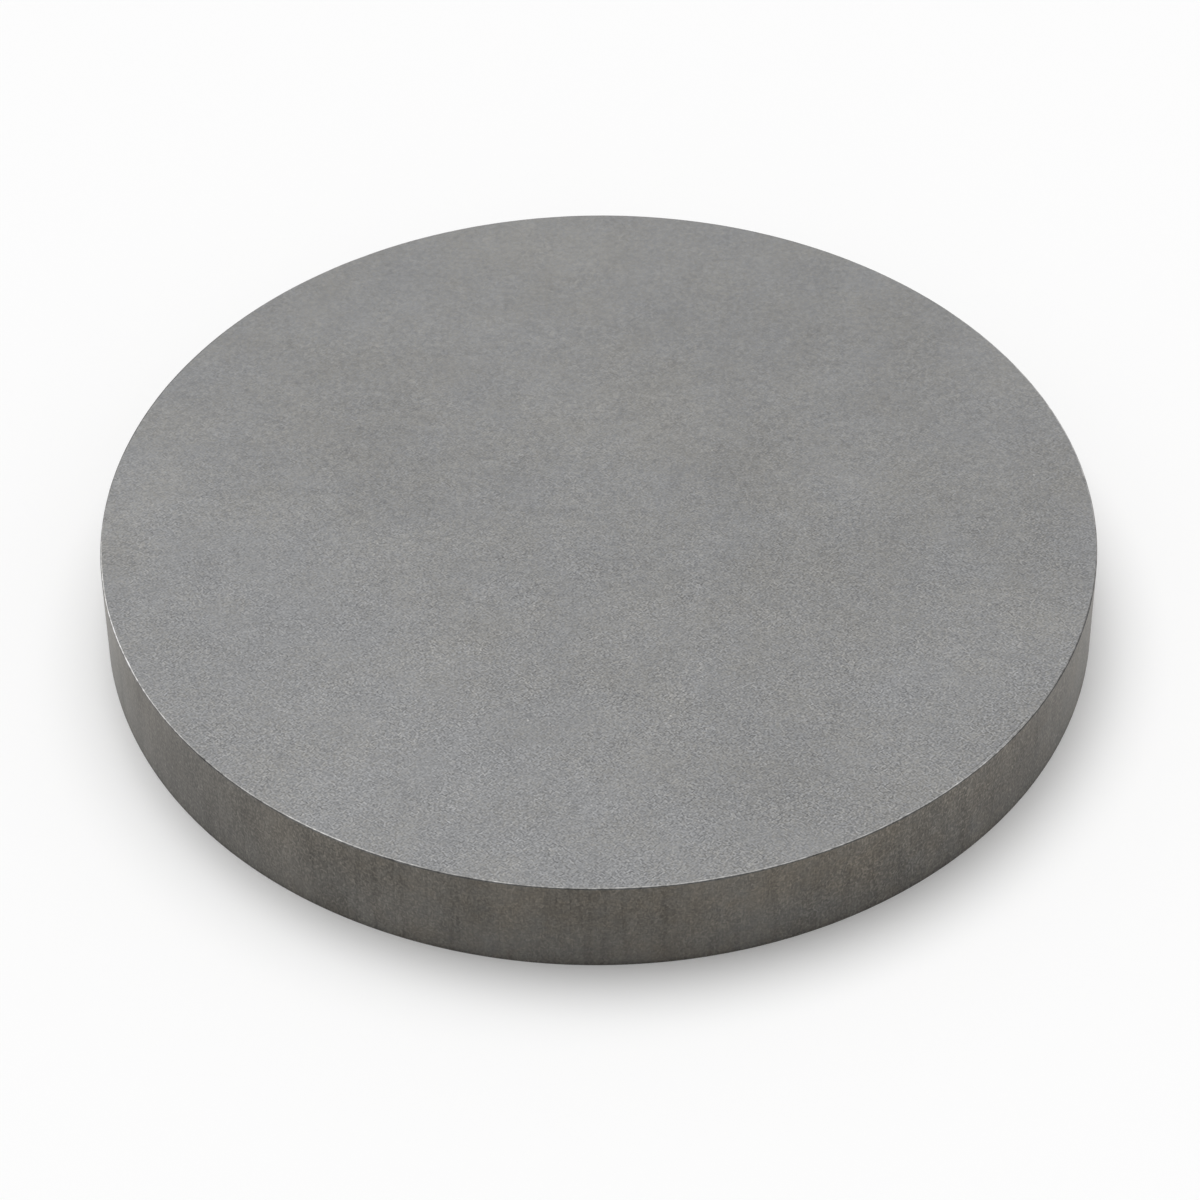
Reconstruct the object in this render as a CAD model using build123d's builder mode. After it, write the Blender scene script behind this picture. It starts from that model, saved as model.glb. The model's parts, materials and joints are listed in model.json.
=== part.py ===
from build123d import *
import os

# Sputtering target: one solid metal disc, turned to diameter and ground flat on both faces.
# It lies on its back face. The origin is the centre of that face, and +Z is the axis of the
# disc, pointing out of the sputter face. All sizes are in millimetres.

# Driving dimensions
diameter = 76.2  # outer diameter, a standard 3 inch target
thickness = 8.0  # from the back face to the sputter face
front_edge_break = 0.10  # leg of the small bevel filed round the sputter face
back_edge_break = 0.10  # leg of the small bevel filed round the back face

radius = diameter / 2

os.makedirs("parts", exist_ok=True)

# Target disc: a round blank, then each of its two sharp rims broken to its own size
with BuildPart() as target_disc:
    with BuildSketch(Plane.XY) as blank:
        Circle(radius)
    extrude(amount=thickness)

    back_rim = target_disc.edges().sort_by(Axis.Z)[0]
    chamfer(back_rim, length=back_edge_break)

    front_rim = target_disc.edges().sort_by(Axis.Z)[-1]
    chamfer(front_rim, length=front_edge_break)

target_disc.part.label = "target_disc"
export_step(target_disc.part, "parts/target_disc.step")
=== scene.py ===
"""Dresses a round sputtering target: one ground metal disc on a white studio floor.

The disc is modelled again here over its construction solid, at the same size and place, with
a round wall, ground faces and rims broken by hand. Meshes, lights and the camera are in
metres, and the patterns of the finishes are in millimetres.
"""

import json
import logging
import math
from dataclasses import dataclass, field
from enum import Enum

import bpy
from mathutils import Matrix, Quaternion, Vector, noise

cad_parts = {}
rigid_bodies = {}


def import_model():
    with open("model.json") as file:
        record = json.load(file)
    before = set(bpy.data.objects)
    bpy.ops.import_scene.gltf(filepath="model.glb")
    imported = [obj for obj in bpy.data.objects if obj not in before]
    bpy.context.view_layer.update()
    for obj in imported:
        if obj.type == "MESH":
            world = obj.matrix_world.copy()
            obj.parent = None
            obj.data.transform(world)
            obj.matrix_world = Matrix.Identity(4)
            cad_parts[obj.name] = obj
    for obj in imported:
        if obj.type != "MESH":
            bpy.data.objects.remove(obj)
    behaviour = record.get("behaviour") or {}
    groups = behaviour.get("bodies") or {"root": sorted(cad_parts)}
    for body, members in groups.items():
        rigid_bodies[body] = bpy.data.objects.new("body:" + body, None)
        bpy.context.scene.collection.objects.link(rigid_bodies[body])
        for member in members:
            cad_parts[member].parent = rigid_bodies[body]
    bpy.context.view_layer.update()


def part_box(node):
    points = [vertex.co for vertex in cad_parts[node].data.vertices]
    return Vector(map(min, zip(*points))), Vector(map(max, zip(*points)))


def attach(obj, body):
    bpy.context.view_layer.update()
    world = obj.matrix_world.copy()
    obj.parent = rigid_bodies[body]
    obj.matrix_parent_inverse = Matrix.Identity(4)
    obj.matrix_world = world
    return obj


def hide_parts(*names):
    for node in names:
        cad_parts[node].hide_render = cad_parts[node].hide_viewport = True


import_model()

log = logging.getLogger("sputtering_target")

Triple = tuple[float, float, float]  # a colour, or a number for each axis
Number = "float | Value"

MM = 0.001  # one millimetre in metres
DISC_LOW, DISC_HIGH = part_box("target_disc")  # corners of the disc's construction box
FACE_MM = DISC_HIGH.z / MM  # height of the front face
RIM_MM = (DISC_HIGH.x - DISC_LOW.x) / 2 / MM  # radius of the wall

LEVEL_NORMAL = 0.5  # a face is level where its normal rises or falls by more than this
DRAW_BLUR = 0.01  # how gradually a random draw turns from a miss into a hit

HERE: Triple = (0.0, 0.0, 0.0)  # no shift
EVEN: Triple = (1.0, 1.0, 1.0)  # no stretch
FLAT: Triple = (1.0, 1.0, 0.0)  # the height left out
UPRIGHT: Triple = (1.0, 1.0, 0.75)  # spots a little longer along the height
DRAWN: Triple = (1.0, 1.0, 0.03)  # spots drawn out into upright lines
CROSSWISE = ((1.0, 0.0, 0.0), (-1.0, 0.0, 0.0), (0.0, 1.0, 0.0), (0.0, -1.0, 0.0))
ALL_ROUND = ((0.6, 0.6, 0.6), (0.6, -0.6, -0.6), (-0.6, 0.6, -0.6), (-0.6, -0.6, 0.6))


class Value:
    """A number, vector or colour socket that can be used in plain Python expressions."""

    def __init__(self, sheet: "ShaderSheet", socket: bpy.types.NodeSocket) -> None:
        """Keeps the socket and the sheet that new maths nodes are added to.

        Args:
            sheet: the node sheet that the socket belongs to.
            socket: the output socket that carries the value.
        """
        self.sheet = sheet
        self.socket = socket

    def __add__(self, other: Number) -> "Value":
        """Sum of two numbers."""
        return self.sheet.maths("ADD", self, other)

    def __sub__(self, other: Number) -> "Value":
        """Difference of two numbers."""
        return self.sheet.maths("SUBTRACT", self, other)

    def __rsub__(self, other: Number) -> "Value":
        """Difference with the plain number on the left."""
        return self.sheet.maths("SUBTRACT", other, self)

    def __mul__(self, other: Number) -> "Value":
        """Product of two numbers."""
        return self.sheet.maths("MULTIPLY", self, other)

    def __abs__(self) -> "Value":
        """The number without its sign."""
        return self.sheet.maths("ABSOLUTE", self, 0.0)

    __radd__ = __add__
    __rmul__ = __mul__

    def at_least(self, floor: Number) -> "Value":
        """The greater of this number and another."""
        return self.sheet.maths("MAXIMUM", self, floor)

    def step(self, low: float, high: float) -> "Value":
        """A smooth step of this number.

        Args:
            low: the value at which the step is 0.
            high: the value at which the step is 1; it may be the smaller of the two.

        Returns:
            A number from 0 to 1.
        """
        return self.sheet.node(
            "ShaderNodeMapRange",
            {"interpolation_type": "SMOOTHSTEP"},
            {"Value": self, "From Min": low, "From Max": high},
        )


@dataclass(frozen=True)
class Ramp:
    """A smooth rise that follows another number.

    Attributes:
        start: the number at which the rise begins.
        end: the number at which it is whole; it may be the smaller of the two.
        gain: the height of the whole rise, below 0 for a fall.
    """

    start: float
    end: float
    gain: float = 1.0

    def over(self, value: Value) -> Value:
        """The height of the rise at a value."""
        return value.step(self.start, self.end) * self.gain


@dataclass(frozen=True)
class Cloud:
    """A soft random pattern.

    Attributes:
        size: the size of its largest spots in millimetres.
        layers: how many finer layers it has.
        rough: how strong each finer layer is beside the one before.
        warp: how far its spots are drawn into wisps, as a share of their size.
        gain: how strongly the finish uses it.
        stretch: a factor for each axis; a small one draws the spots out along that axis.
    """

    size: float
    layers: float = 0.0
    rough: float = 0.5
    warp: float = 0.0
    gain: float = 1.0
    stretch: Triple = EVEN


@dataclass(frozen=True)
class Specks:
    """Small round specks strewn at random.

    Attributes:
        spacing: the mean distance between possible specks in millimetres.
        radius: the radius of a speck in millimetres.
        share: how many of the possible specks there are, from 0 to 1.
        gain: how much lighter a speck is, below 0 for a darker one.
        core: the share of its radius over which a speck is whole.
    """

    spacing: float
    radius: float
    share: float
    gain: float
    core: float = 0.4


class ShaderSheet:
    """The node sheet of one material or world, filled from Python expressions."""

    def __init__(self, owner: bpy.types.Material | bpy.types.World) -> None:
        """Empties the owner's node sheet.

        Args:
            owner: the material or world whose nodes are made here.
        """
        owner.use_nodes = True
        self.tree = owner.node_tree
        self.tree.nodes.clear()
        self.places: dict[tuple[Triple, Triple], Value] = {}

    def node(
        self,
        kind: str,
        settings: dict[str, object],
        inputs: dict[str | int, object],
        output: str | int = 0,
    ) -> Value | None:
        """Adds a node, sets it up and gives one of its outputs.

        Args:
            kind: the node's type name.
            settings: the node's own properties, set before its sockets.
            inputs: a value or a link for each socket, by name or by place.
            output: the output that is wanted, by name or by place.

        Returns:
            The output as a value, or nothing for a node without outputs.
        """
        made = self.tree.nodes.new(kind)
        for name, choice in settings.items():
            setattr(made, name, choice)
        for name, given in inputs.items():
            if isinstance(given, Value):
                self.tree.links.new(given.socket, made.inputs[name])
            else:
                made.inputs[name].default_value = given
        return Value(self, made.outputs[output]) if len(made.outputs) else None

    def maths(self, operation: str, first: Number, second: Number) -> Value:
        """Adds a Math node for two numbers."""
        return self.node("ShaderNodeMath", {"operation": operation}, {0: first, 1: second})

    def vector_maths(
        self, operation: str, inputs: dict[str | int, object], output: str | int = 0
    ) -> Value:
        """Adds a Vector Math node."""
        return self.node("ShaderNodeVectorMath", {"operation": operation}, inputs, output)

    def place_mm(self, stretch: Triple = EVEN, shift: Triple = HERE) -> Value:
        """The place on the piece in millimetres.

        Args:
            stretch: a factor for each axis; a small one draws a pattern out along that axis.
            shift: how far a pattern is moved against each axis, in millimetres.

        Returns:
            A vector.
        """
        if (stretch, shift) not in self.places:
            place = self.node("ShaderNodeTexCoord", {}, {}, "Object")
            scale = tuple(share / MM for share in stretch)
            moved = self.vector_maths("MULTIPLY_ADD", {0: place, 1: scale, 2: shift})
            self.places[stretch, shift] = moved
        return self.places[stretch, shift]

    def along(self, axis: int) -> Value:
        """The place along one axis in millimetres, with 0, 1 and 2 for X, Y and Z."""
        return self.node("ShaderNodeSeparateXYZ", {}, {0: self.place_mm()}, axis)

    def cloud(self, look: Cloud, shift: Triple = HERE) -> Value:
        """A soft random pattern, without its gain.

        Args:
            look: the settings of the pattern.
            shift: how far it is moved against each axis, in millimetres.

        Returns:
            A number round 0, mostly within 0.25 of it.
        """
        inputs = {
            "Vector": self.place_mm(look.stretch, shift),
            "Scale": 1 / look.size,
            "Detail": look.layers,
            "Roughness": look.rough,
            "Distortion": look.warp,
        }
        return self.node("ShaderNodeTexNoise", {}, inputs, "Fac") - 0.5

    def gained_cloud(self, look: Cloud) -> Value:
        """A soft random pattern round 0, times its gain."""
        return self.cloud(look) * look.gain

    def crisp_cloud(self, look: Cloud, reach: float, ways: tuple[Triple, ...]) -> Value:
        """A random pattern less the mean of itself a short way off, which leaves crisp strokes.

        Args:
            look: the settings of the pattern that it starts from.
            reach: how far off the mean is taken, in millimetres.
            ways: the directions in which the mean is taken.

        Returns:
            A number round 0, mostly within 0.5 of it, without the pattern's gain.
        """
        crisp = self.cloud(look) * float(len(ways))
        for way in ways:
            crisp = crisp - self.cloud(look, tuple(share * reach for share in way))
        return crisp

    def specks(self, look: Specks) -> Value:
        """Small round specks strewn at random.

        Args:
            look: the settings of the specks.

        Returns:
            A number that is the gain on a speck and 0 beside it.
        """
        inputs = {"Vector": self.place_mm(), "Scale": 1 / look.spacing}
        near = self.node("ShaderNodeTexVoronoi", {}, inputs, "Distance")
        draw = self.node("ShaderNodeTexVoronoi", {}, inputs, "Color")
        chance = self.node("ShaderNodeSeparateXYZ", {}, {0: draw})
        needed = 1 - look.share
        picked = chance.step(needed - DRAW_BLUR, needed)
        reach = look.radius / look.spacing
        return near.step(reach, reach * look.core) * picked * look.gain

    def tint(self, colour: Triple, gain: Value) -> Value:
        """A colour made lighter or darker.

        Args:
            colour: the colour where gain is 1.
            gain: the factor.

        Returns:
            A colour.
        """
        return self.vector_maths("SCALE", {0: colour, "Scale": gain})

    def blend(self, share: Value, first: Value, second: Value) -> Value:
        """Goes from one colour to another as share goes from 0 to 1."""
        inputs = {"Factor": share, 6: first, 7: second}
        return self.node("ShaderNodeMix", {"data_type": "RGBA"}, inputs, 2)

    def relief(self, height: Value, depth: float) -> Value:
        """A bumped normal.

        Args:
            height: the height pattern, from about -1 to 1.
            depth: the height of 1 in metres.

        Returns:
            The normal.
        """
        inputs = {"Height": height, "Strength": 1.0, "Distance": depth}
        return self.node("ShaderNodeBump", {}, inputs, "Normal")

    def surface(self, **sockets: object) -> None:
        """Ends the sheet in a surface.

        Args:
            sockets: the surface's inputs, with _ for a space in their names.
        """
        inputs = {name.replace("_", " "): given for name, given in sockets.items()}
        shader = self.node("ShaderNodeBsdfPrincipled", {}, inputs, "BSDF")
        self.node("ShaderNodeOutputMaterial", {}, {"Surface": shader})


def new_material(name: str) -> tuple[bpy.types.Material, ShaderSheet]:
    """Makes an empty material.

    Args:
        name: the name of the finish.

    Returns:
        The material and its node sheet.
    """
    material = bpy.data.materials.new(name)
    return material, ShaderSheet(material)


@dataclass(frozen=True)
class TonePatch:
    """A faint soft patch, measured in millimetres from the middle of the front face.

    Attributes:
        across: how far its middle lies to the right.
        back: how far its middle lies to the back.
        reach: how far it reaches from its middle.
        shade: how much lighter it is in its middle, below 0 for darker.
        warmth: how much warmer it is in its middle, below 0 for cooler.
    """

    across: float
    back: float
    reach: float
    shade: float = 0.0
    warmth: float = 0.0

    def mask(self, sheet: ShaderSheet) -> Value:
        """Where the patch lies.

        Args:
            sheet: the sheet of the finish.

        Returns:
            A number that is 1 in the middle of the patch and 0 outside it.
        """
        middle = (self.across, self.back, FACE_MM)
        off = sheet.vector_maths("DISTANCE", {0: sheet.place_mm(), 1: middle}, "Value")
        return off.step(self.reach, 0.0)


@dataclass(frozen=True)
class PatchedMetal:
    """A metal whose lightness and warmth vary over the surface, with patches of stain and
    painted light.

    Attributes:
        metal: its colour.
        warm_metal: its colour where it is warmest.
        roughness: its roughness.
        relief: the depth of its relief in metres.
        glint: how much further its light spots stand out than its dark ones.
        stains_and_painted_light: its soft patches, of stain and of painted light and shade.
        unevenness: the pattern of where its texture is strong and where it is weak.
    """

    metal: Triple
    warm_metal: Triple
    roughness: float
    relief: float
    glint: float
    stains_and_painted_light: tuple[TonePatch, ...]
    unevenness: Cloud = Cloud(4.0, 2.0, 0.7, gain=1.6)

    def strength(self, sheet: ShaderSheet) -> Value:
        """How strong the texture is, round 1."""
        return sheet.gained_cloud(self.unevenness) + 1.0

    def with_glint(self, tone: Value) -> Value:
        """The texture with its light spots raised."""
        return tone + tone * tone * self.glint

    def end(self, sheet: ShaderSheet, gain: Value, warmth: Value, height: Value) -> None:
        """Adds the stains and the painted light and shade, and ends the sheet in this metal.

        Args:
            sheet: the sheet of the finish.
            gain: how light the metal is, round 1.
            warmth: the share of the warm metal, from 0 to 1.
            height: the pattern of the relief.
        """
        for tone_patch in self.stains_and_painted_light:
            mask = tone_patch.mask(sheet)
            gain = gain + mask * tone_patch.shade
            warmth = warmth + mask * tone_patch.warmth
        cool_side = sheet.tint(self.metal, gain)
        warm_side = sheet.tint(self.warm_metal, gain)
        sheet.surface(
            Base_Color=sheet.blend(warmth, cool_side, warm_side),
            Metallic=1.0,
            Roughness=self.roughness,
            Normal=sheet.relief(height, self.relief),
        )


@dataclass(frozen=True)
class GroundFace(PatchedMetal):
    """The matt face left by grinding: fine crossing grain, faint clouds and a few specks."""

    metal: Triple = (0.3295, 0.3325, 0.338)
    warm_metal: Triple = (0.338, 0.333, 0.321)
    roughness: float = 0.62
    relief: float = 0.004 * MM
    glint: float = 0.3
    grain: Cloud = Cloud(0.26, warp=0.6, gain=0.36)
    grain_reach: float = 0.105
    tooth: Cloud = Cloud(0.42, 1.0, 0.6, 0.8, gain=0.54)
    grain_calm: Ramp = Ramp(-24.0, 36.0, 0.92)  # how the grain fades towards the back
    tooth_calm: Ramp = Ramp(8.0, 38.0, 0.35)  # how the tooth fades towards the back
    mottle: Cloud = Cloud(1.1, 1.0, 0.6, 0.5, gain=0.13)
    clouds: Cloud = Cloud(9.0, 5.0, 0.92, gain=0.33)
    light_specks: Specks = Specks(2.6, 0.13, 0.06, gain=0.7)
    dark_specks: Specks = Specks(2.1, 0.12, 0.06, gain=-0.4)
    warm_clouds: Cloud = Cloud(7.0, 5.0, 0.72, gain=2.0)
    warm_flecks: Cloud = Cloud(0.234, gain=1.5)
    warm_tooth: float = 0.7
    warm_share: float = 0.45
    scratch: TonePatch = TonePatch(29.4, -24.2, 7.0)
    scratch_inset: float = 0.3  # from the wall to the dark line
    scratch_width: float = 0.07  # half the width of each line
    scratch_gap: float = 0.112  # from the dark line out to the light one
    scratch_glint: float = 0.7
    scratch_gain: float = 0.35
    # Warmth is stains; lightness is partly painted light: lighter left and front, darker right
    # and back.
    stains_and_painted_light: tuple[TonePatch, ...] = (
        TonePatch(-26.0, -14.0, 26.0, 0.06, -0.25),
        TonePatch(-36.0, 3.0, 14.0, 0.07),
        TonePatch(-17.0, -27.0, 16.0, 0.05),
        TonePatch(21.0, 24.0, 22.0, -0.05),
        TonePatch(12.0, -4.0, 17.0, -0.035),
        TonePatch(-6.0, -34.0, 22.0, 0.05, -0.30),
        TonePatch(27.0, -20.0, 10.0, 0.02, -0.20),
        TonePatch(9.0, -26.0, 10.0, -0.04),
        TonePatch(33.0, 2.0, 16.0, -0.06),
        TonePatch(11.0, 8.0, 8.0, -0.03, 0.35),
        TonePatch(5.0, 16.0, 10.0, -0.03, 0.35),
        TonePatch(18.0, -5.0, 9.0, -0.03, 0.25),
        TonePatch(-20.0, 15.0, 12.0, -0.02, 0.20),
        TonePatch(-16.0, 6.0, 8.0, -0.04),
        TonePatch(-4.0, 36.0, 14.0, 0.02, 0.30),
        TonePatch(8.0, 25.0, 9.0, -0.03, -0.10),
    )

    def scratch_tone(self, sheet: ShaderSheet) -> Value:
        """The short scratch along the rim: a dark line with a lighter one just outside it.

        Args:
            sheet: the sheet of the finish.

        Returns:
            A number that is -1 on the dark line and above 0 on the light one.
        """
        level = sheet.place_mm(FLAT)
        radius = sheet.vector_maths("LENGTH", {0: level}, "Value")
        off = radius - (RIM_MM - self.scratch_inset)
        dark = abs(off).step(self.scratch_width, 0.0)
        light = abs(off - self.scratch_gap).step(self.scratch_width, 0.0)
        return (light * self.scratch_glint - dark) * self.scratch.mask(sheet)

    def material(self) -> bpy.types.Material:
        """Makes the finish.

        Returns:
            The material of the ground faces.
        """
        material, sheet = new_material("ground_face")
        back = sheet.along(1)
        grain = sheet.crisp_cloud(self.grain, self.grain_reach, CROSSWISE)
        tooth = sheet.cloud(self.tooth)
        grain_tone = grain * (1 - self.grain_calm.over(back)) * self.grain.gain
        tooth_tone = tooth * (1 - self.tooth_calm.over(back)) * self.tooth.gain
        gain = self.with_glint((grain_tone + tooth_tone) * self.strength(sheet))
        gain = gain + sheet.gained_cloud(self.mottle) + sheet.gained_cloud(self.clouds) + 1.0
        gain = gain + sheet.specks(self.light_specks) + sheet.specks(self.dark_specks)
        gain = gain + self.scratch_tone(sheet) * self.scratch_gain
        warmth = sheet.gained_cloud(self.warm_clouds) + sheet.gained_cloud(self.warm_flecks)
        warmth = warmth + tooth * self.warm_tooth + self.warm_share
        self.end(sheet, gain, warmth, grain)
        return material


@dataclass(frozen=True)
class TurnedWall(PatchedMetal):
    """The darker wall: short strokes and thin lines along the axis, and faint blotches."""

    # Partly the wall's own finish and partly painted shade: its metal is darker than the
    # faces'.
    metal: Triple = (0.131, 0.128, 0.120)
    warm_metal: Triple = (0.143, 0.129, 0.109)
    roughness: float = 0.45
    relief: float = 0.003 * MM
    glint: float = 0.9
    strokes: Cloud = Cloud(0.24, warp=0.5, gain=0.26, stretch=UPRIGHT)
    stroke_reach: float = 0.10
    tooth: Cloud = Cloud(0.45, 1.0, 0.7, 0.6, gain=0.30, stretch=UPRIGHT)
    left_side: Ramp = Ramp(-4.0, -30.0)
    right_side: Ramp = Ramp(4.0, 30.0)
    left_tooth: float = 0.6  # how much stronger the texture is at the far left
    right_tooth: float = 0.95  # how much stronger it is at the far right
    furrows: Cloud = Cloud(1.6, 1.0, 0.6, stretch=DRAWN)
    threads: Cloud = Cloud(1.28, 1.0, 0.6, stretch=DRAWN)
    thread_level: float = 0.08
    thread_share: float = 0.8
    line_width: float = 0.035
    line_gain: float = 0.09
    blotches: Cloud = Cloud(4.5, 3.0, 0.85, gain=0.66, stretch=(1.0, 1.0, 0.45))
    streaks: Cloud = Cloud(2.2, 1.0, 0.7, gain=0.5, stretch=(1.0, 1.0, 0.2))
    # Painted light lightens the wall towards its foot; a painted shadow darkens a thin band at
    # the foot.
    painted_foot_light: Ramp = Ramp(5.5, 0.0, 0.24)  # by height, as are the next line and the warm rise
    painted_foot_shadow: Ramp = Ramp(0.5, 0.1, -0.25)
    pits: Specks = Specks(2.6, 0.12, 0.10, gain=-0.35)
    warm_clouds: Cloud = Cloud(5.0, 4.0, 0.9, gain=2.2)
    left_calm: float = 0.65  # how much weaker the warm clouds are at the far left
    warm_strokes: float = 0.15
    warm_rise: Ramp = Ramp(1.0, 7.0, 0.35)
    warm_share: float = 0.3
    stains_and_painted_light: tuple[TonePatch, ...] = (
        # The second patch is a painted sheen on the far left end; the others vary lightness and
        # warmth.
        TonePatch(-2.0, -38.0, 14.0, -0.11, 0.10),
        TonePatch(-38.0, -6.0, 12.0, 0.40, -0.25),
        TonePatch(-15.5, -34.8, 9.5, -0.10, -0.10),
        TonePatch(-28.5, -25.3, 10.0, 0.06, -0.25),
        TonePatch(18.0, -33.6, 10.0, 0.06, 0.25),
        TonePatch(30.0, -23.5, 9.5, -0.06, 0.20),
    )

    def line_tone(self, sheet: ShaderSheet) -> Value:
        """The thin upright lines.

        Args:
            sheet: the sheet of the finish.

        Returns:
            A number that is 1 on a dark line and below 0 on a light one.
        """
        furrow = abs(sheet.cloud(self.furrows)).step(self.line_width, 0.0)
        thread = abs(sheet.cloud(self.threads) - self.thread_level).step(self.line_width, 0.0)
        return furrow - thread * self.thread_share

    def material(self) -> bpy.types.Material:
        """Makes the finish.

        Returns:
            The material of the wall.
        """
        material, sheet = new_material("turned_wall")
        across = sheet.along(0)
        height = sheet.along(2)
        left = self.left_side.over(across)
        right = self.right_side.over(across)
        strokes = sheet.crisp_cloud(self.strokes, self.stroke_reach, ALL_ROUND)
        strength = self.strength(sheet) + left * self.left_tooth + right * self.right_tooth
        tone = strokes * self.strokes.gain + sheet.gained_cloud(self.tooth)
        gain = self.with_glint(tone * strength)
        gain = gain - self.line_tone(sheet) * self.line_gain
        gain = gain + sheet.gained_cloud(self.blotches)
        gain = gain + sheet.gained_cloud(self.streaks) * (left + right)
        gain = gain + self.painted_foot_light.over(height) + self.painted_foot_shadow.over(height) + 1.0
        gain = gain + sheet.specks(self.pits)
        warmth = sheet.gained_cloud(self.warm_clouds) * (1 - left * self.left_calm)
        warmth = warmth + strokes * self.warm_strokes
        warmth = warmth + self.warm_rise.over(height) + self.warm_share
        self.end(sheet, gain, warmth, strokes)
        return material


@dataclass(frozen=True)
class BrokenEdge:
    """A broken rim's bare metal: a patchy painted highlight on the lip, painted shade as a dark
    foot line.
    """

    metal: Triple = (0.28, 0.277, 0.272)
    roughness: float = 0.35
    wear: Cloud = Cloud(0.6, 2.0, 0.8, gain=2.4)
    least_wear: float = 0.4
    # Painted highlight along the top of the edge; below it, painted shade leaves the foot dark.
    painted_lip_highlight: Ramp = Ramp(FACE_MM - 0.04, FACE_MM - 0.01, 1.25)
    painted_foot_shade: float = 0.32
    # Painted highlights at the left and front left; painted shade at the right and the back.
    stains_and_painted_light: tuple[TonePatch, ...] = (
        TonePatch(-35.5, -12.5, 15.0, 1.0),
        TonePatch(-19.0, -33.0, 7.0, 0.45),
        TonePatch(36.5, -11.0, 22.0, -0.6),
        TonePatch(-34.0, 18.0, 26.0, -0.8),
        TonePatch(8.0, 37.0, 36.0, -0.7),
    )

    def material(self) -> bpy.types.Material:
        """Makes the finish.

        Returns:
            The material of the broken rims.
        """
        material, sheet = new_material("broken_edge")
        wear = (sheet.gained_cloud(self.wear) + 1.0).at_least(self.least_wear)
        gain = wear * (self.painted_lip_highlight.over(sheet.along(2)) + self.painted_foot_shade)
        for tone_patch in self.stains_and_painted_light:
            gain = gain * (tone_patch.mask(sheet) * tone_patch.shade + 1.0)
        colour = sheet.tint(self.metal, gain)
        sheet.surface(Base_Color=colour, Metallic=1.0, Roughness=self.roughness)
        return material


class Skin(Enum):
    """The parts of the disc's surface, each with its own finish. The value is the slot."""

    FACE = 0
    WALL = 1
    EDGE = 2


def select_only(*objects: bpy.types.Object) -> None:
    """Selects these objects and nothing else, and makes the first of them active.

    Args:
        objects: what to select; with none, everything is deselected.
    """
    for other in bpy.context.view_layer.objects:
        other.select_set(False)
    for chosen in objects:
        chosen.select_set(True)
    if objects:
        bpy.context.view_layer.objects.active = objects[0]


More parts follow.
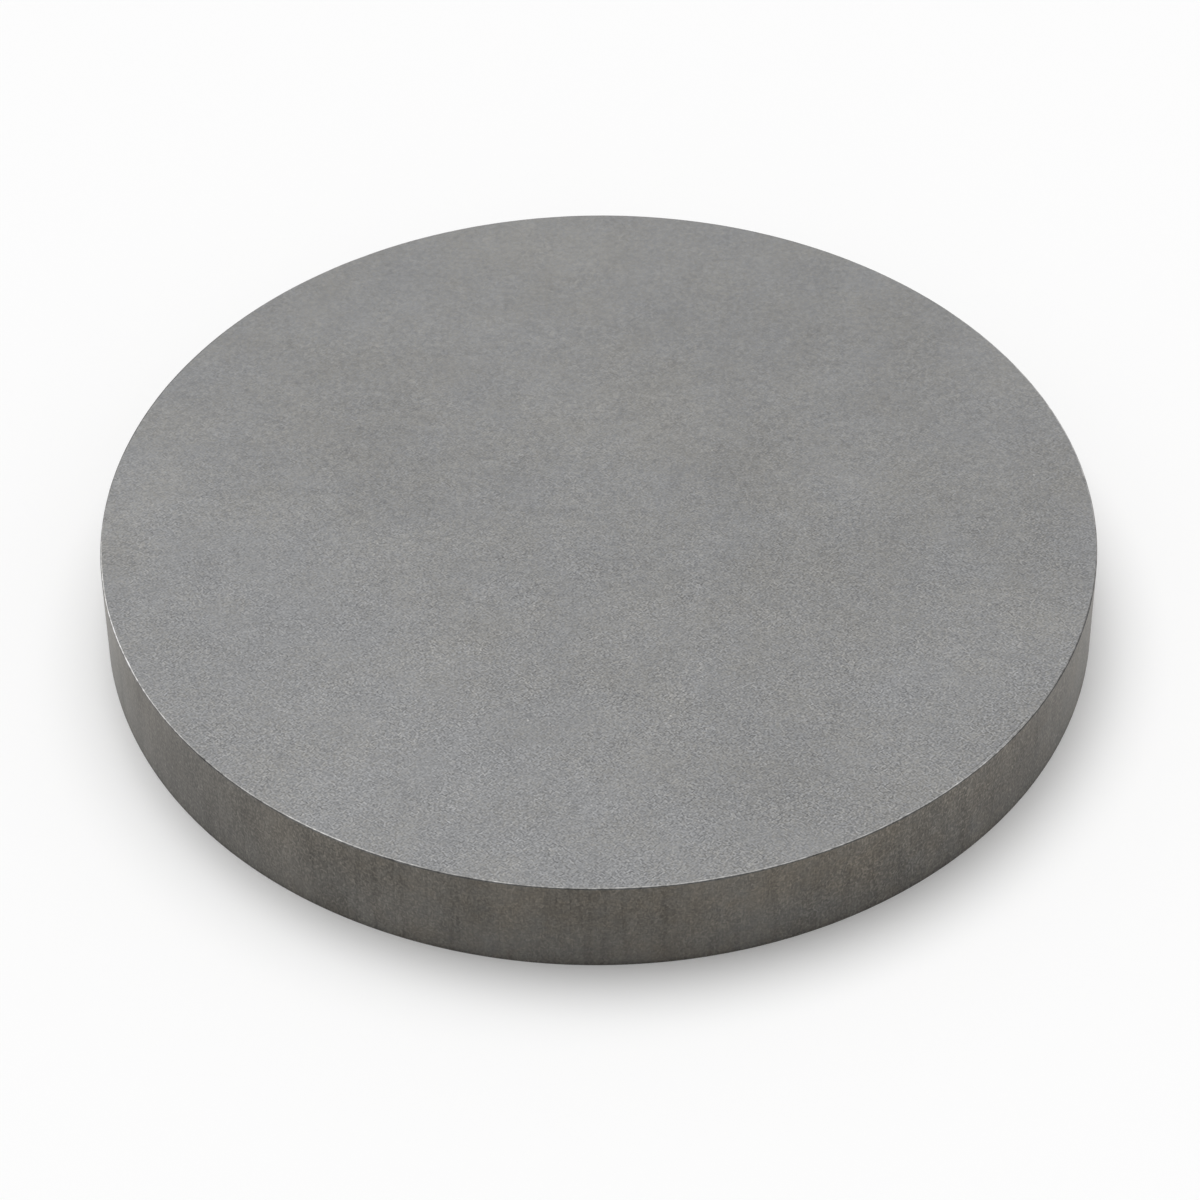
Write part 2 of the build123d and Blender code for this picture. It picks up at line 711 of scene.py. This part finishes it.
@dataclass
class TargetDisc:
    """The whole target: a solid disc with two ground faces, a wall and two broken rims.

    Places round the rims are in degrees from the front, with the right at 90. The nicks of
    the bottom rim lie a quarter turn on from those of the top rim. The width of the broken
    edge wanders slowly and quickly along the rim, over lengths in millimetres.
    """

    low: Vector
    high: Vector
    facets: int = 1440
    wall_bands: int = 8
    face_rings: int = 6
    ring_inset: float = 6 * MM
    first_inset: float = 0.8 * MM
    edge_break: float = 0.105 * MM
    edge_steps: int = 3
    slow_wander: float = 0.3
    slow_length: float = 6.0
    quick_wander: float = 0.25
    quick_length: float = 0.7
    thinnest_share: float = 0.3
    foot_share: float = 0.3
    deepest_nick: float = 0.2 * MM
    nick_places: tuple[float, ...] = (13.2, 35.0, 42.2, -14.4, -67.0, 96.0, 118.0, -150.0)
    nick_reach: float = 0.45
    crease_angle: float = 10.0
    piece: bpy.types.Object | None = field(default=None, init=False)

    @property
    def radius(self) -> float:
        """Radius of the wall."""
        return (self.high.x - self.low.x) / 2

    @property
    def thickness(self) -> float:
        """Height from the back face to the front face."""
        return self.high.z - self.low.z

    def build(self) -> bpy.types.Object:
        """Models the disc.

        Returns:
            The finished piece, at rest in the frame.
        """
        select_only()
        bpy.ops.mesh.primitive_cylinder_add(
            vertices=self.facets,
            radius=self.radius,
            depth=self.thickness,
            end_fill_type="NGON",
            location=(0, 0, self.low.z + self.thickness / 2),
        )
        self.piece = bpy.context.object
        self.piece.name = "target_disc_ground"
        bpy.ops.object.transform_apply(location=True, rotation=True, scale=True)
        self._ring_faces()
        self._band_wall()
        self._lay_skins()
        self._break_rims()
        select_only(self.piece)
        bpy.ops.object.shade_smooth_by_angle(angle=math.radians(self.crease_angle))
        return self.piece

    def _pick_faces(self, upwards: bool) -> None:
        """Selects the flat end face at the top or the bottom.

        Args:
            upwards: the top face if true, and otherwise the bottom one.
        """
        bpy.ops.object.mode_set(mode="EDIT")
        bpy.ops.mesh.select_all(action="DESELECT")
        bpy.ops.object.mode_set(mode="OBJECT")
        sign = 1 if upwards else -1
        for face in self.piece.data.polygons:
            face.select = face.normal.z * sign > LEVEL_NORMAL
        bpy.ops.object.mode_set(mode="EDIT")

    def _ring_faces(self) -> None:
        """Divides each end face into rings and closes its middle with a fan."""
        for upwards in (True, False):
            self._pick_faces(upwards)
            bpy.ops.mesh.inset(thickness=self.first_inset)
            for _ in range(self.face_rings - 1):
                bpy.ops.mesh.inset(thickness=self.ring_inset)
            bpy.ops.mesh.poke()
            bpy.ops.object.mode_set(mode="OBJECT")

    def _band_wall(self) -> None:
        """Divides the wall into bands round the disc."""
        bpy.ops.object.mode_set(mode="EDIT")
        bpy.ops.mesh.select_mode(type="EDGE")
        bpy.ops.mesh.select_all(action="DESELECT")
        bpy.ops.object.mode_set(mode="OBJECT")
        mesh = self.piece.data
        for edge in mesh.edges:
            start, end = (mesh.vertices[i].co for i in edge.vertices)
            edge.select = abs(start.z - end.z) > self.thickness / 2
        bpy.ops.object.mode_set(mode="EDIT")
        bpy.ops.mesh.subdivide(number_cuts=self.wall_bands - 1)
        bpy.ops.mesh.select_mode(type="FACE")
        bpy.ops.object.mode_set(mode="OBJECT")

    def _lay_skins(self) -> None:
        """Gives the piece its finishes, and each face the slot of the one it wears."""
        for finish in (GroundFace(), TurnedWall(), BrokenEdge()):
            self.piece.data.materials.append(finish.material())
        for face in self.piece.data.polygons:
            level = abs(face.normal.z) > LEVEL_NORMAL
            face.material_index = (Skin.FACE if level else Skin.WALL).value

    def _rim_break(self, azimuth: float, side: float) -> float:
        """The width of the broken edge at one place on a rim.

        Args:
            azimuth: the place round the rim, in degrees from the front.
            side: 0 for the bottom rim and 1 for the top one.

        Returns:
            The width in metres.
        """
        turn = math.radians(azimuth)
        along = Vector((math.cos(turn), math.sin(turn), side)) * self.radius / MM
        slow = noise.noise(along / self.slow_length) * self.slow_wander
        quick = noise.noise(along / self.quick_length) * self.quick_wander
        width = self.edge_break * (1 + slow + quick)
        quarter_turn = 90 * (1 - side)
        for place in self.nick_places:
            off = (azimuth - place - quarter_turn + 180) % 360 - 180
            depth = max(0.0, 1 - (off / self.nick_reach) ** 2)
            width += (self.deepest_nick - self.edge_break) * depth
        share = 1.0 if side else self.foot_share
        return min(max(width * share, self.thinnest_share * self.edge_break), self.deepest_nick)

    def _break_rims(self) -> None:
        """Bevels both rims, with a width that wanders and small nicks."""
        mesh = self.piece.data
        weights = mesh.attributes.new("bevel_weight_edge", "FLOAT", "EDGE")
        for edge in mesh.edges:
            middle = sum((mesh.vertices[i].co for i in edge.vertices), Vector()) / 2
            on_wall = middle.xy.length > self.radius - self.first_inset / 4
            side = round((middle.z - self.low.z) / self.thickness, 4)
            if on_wall and side in (0.0, 1.0):
                azimuth = math.degrees(math.atan2(middle.x, -middle.y))
                width = self._rim_break(azimuth, side)
                weights.data[edge.index].value = width / self.deepest_nick
        bevel = self.piece.modifiers.new("broken_rims", "BEVEL")
        bevel.limit_method = "WEIGHT"
        bevel.width = self.deepest_nick
        bevel.segments = self.edge_steps
        bevel.material = Skin.EDGE.value
        bpy.ops.object.modifier_apply(modifier=bevel.name)


@dataclass(frozen=True)
class SoftLight:
    """A wide soft light far from the disc, so that it falls evenly on the whole floor.

    Attributes:
        name: its name.
        share: the part of a white floor's light that it gives.
        spread: the angle that it fills, in degrees.
        tilt: its angle from straight overhead, in degrees.
        turn: the side it stands on, in degrees clockwise from the back as seen from above.
    """

    name: str
    share: float
    spread: float
    tilt: float
    turn: float

    def hang(self) -> bpy.types.Object:
        """Makes the light.

        Returns:
            The lamp.
        """
        tilt = math.radians(self.tilt)
        turn = math.radians(self.turn)
        lamp = bpy.data.lights.new(self.name, "SUN")
        lamp.energy = self.share * math.pi / math.cos(tilt)
        lamp.angle = math.radians(self.spread)
        light = bpy.data.objects.new(self.name, lamp)
        light.visible_glossy = False
        level = math.sin(tilt)
        towards = Vector((level * math.sin(turn), level * math.cos(turn), math.cos(tilt)))
        light.rotation_mode = "QUATERNION"
        light.rotation_quaternion = towards.to_track_quat("Z", "Y")
        bpy.context.scene.collection.objects.link(light)
        return light


@dataclass
class Studio:
    """A white seamless floor with two large lights nearly overhead and a weak one in front."""

    floor_size: float = 12.0
    white: float = 0.98
    lights: tuple[SoftLight, ...] = (
        SoftLight("left_light", share=0.361, spread=46.0, tilt=20.0, turn=-42.0),
        SoftLight("right_light", share=0.260, spread=51.0, tilt=23.0, turn=20.0),
        SoftLight("front_light", share=0.083, spread=20.0, tilt=42.5, turn=180.0),
    )
    ambient: float = 0.296

    def lay_floor(self, height: float) -> bpy.types.Object:
        """Makes the floor.

        Args:
            height: the height that the disc stands on.

        Returns:
            The floor, which isn't part of the object.
        """
        select_only()
        bpy.ops.mesh.primitive_plane_add(size=self.floor_size, location=(0, 0, height))
        floor = bpy.context.object
        floor.name = "studio_floor"
        material, sheet = new_material("white_floor")
        colour = (self.white, self.white, self.white, 1.0)
        sheet.surface(Base_Color=colour, Roughness=1.0, Specular_IOR_Level=0.0)
        floor.data.materials.append(material)
        return floor

    def light(self) -> None:
        """Hangs the soft lights, and sets the even light all round and the white backdrop."""
        for soft_light in self.lights:
            soft_light.hang()
        world = bpy.data.worlds.new("studio")
        world.cycles.sampling_method = "NONE"
        bpy.context.scene.world = world
        sheet = ShaderSheet(world)
        seen, mirrored, through = (
            sheet.node("ShaderNodeLightPath", {}, {}, f"Is {ray} Ray")
            for ray in ("Camera", "Glossy", "Transmission")
        )
        plain = (1.0, 1.0, 1.0, 1.0)
        backdrop, even = (
            sheet.node("ShaderNodeBackground", {}, {"Color": plain, "Strength": strength})
            for strength in (self.white, self.ambient)
        )
        inputs = {0: seen + mirrored + through, 1: even, 2: backdrop}
        both = sheet.node("ShaderNodeMixShader", {}, inputs)
        sheet.node("ShaderNodeOutputWorld", {}, {"Surface": both})


@dataclass
class PhotoCamera:
    """The camera at the photograph's place. Its lengths are shares of the disc's radius.

    Attributes:
        lens_mm: its focal length in millimetres.
        elevation: its height over the front face, in degrees seen from the face's middle.
        distance: how far it is from the face's middle.
        aim_right: how far to the right of the face's middle it looks.
        aim_back: how far to the back of the face's middle it looks.
        roll: its turn about its own line of sight, in degrees.
        far_clip: the furthest that it sees, in metres.
    """

    lens_mm: float = 135.5
    elevation: float = 42.36
    distance: float = 9.089
    aim_right: float = 0.0018
    aim_back: float = -0.2199
    roll: float = -0.433
    far_clip: float = 100.0

    def place(self, disc: TargetDisc) -> bpy.types.Object:
        """Makes the scene's camera.

        Args:
            disc: the disc that the camera looks at.

        Returns:
            The camera.
        """
        rise = math.radians(self.elevation)
        unit = disc.radius
        face = Vector((0, 0, disc.high.z))
        spot = face + Vector((0, -math.cos(rise), math.sin(rise))) * self.distance * unit
        aim = face + Vector((self.aim_right, self.aim_back, 0)) * unit
        lens = bpy.data.cameras.new("photo_camera")
        lens.lens = self.lens_mm
        lens.clip_start = unit
        lens.clip_end = self.far_clip
        camera = bpy.data.objects.new("photo_camera", lens)
        level = (aim - spot).to_track_quat("-Z", "Y")
        camera.rotation_mode = "QUATERNION"
        camera.rotation_quaternion = level @ Quaternion((0, 0, 1), math.radians(self.roll))
        camera.location = spot
        bpy.context.scene.collection.objects.link(camera)
        bpy.context.scene.camera = camera
        return camera


def main() -> None:
    """Builds the disc over its solid, then the studio round it."""
    logging.basicConfig(level=logging.INFO, format="%(name)s: %(message)s")
    bpy.context.scene.view_settings.view_transform = "Standard"
    disc = TargetDisc(DISC_LOW, DISC_HIGH)
    piece = disc.build()
    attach(piece, "root")
    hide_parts("target_disc")
    log.info("%s: %d faces", piece.name, len(piece.data.polygons))
    studio = Studio()
    studio.lay_floor(disc.low.z)
    studio.light()
    PhotoCamera().place(disc)


if __name__ == "__main__":
    main()
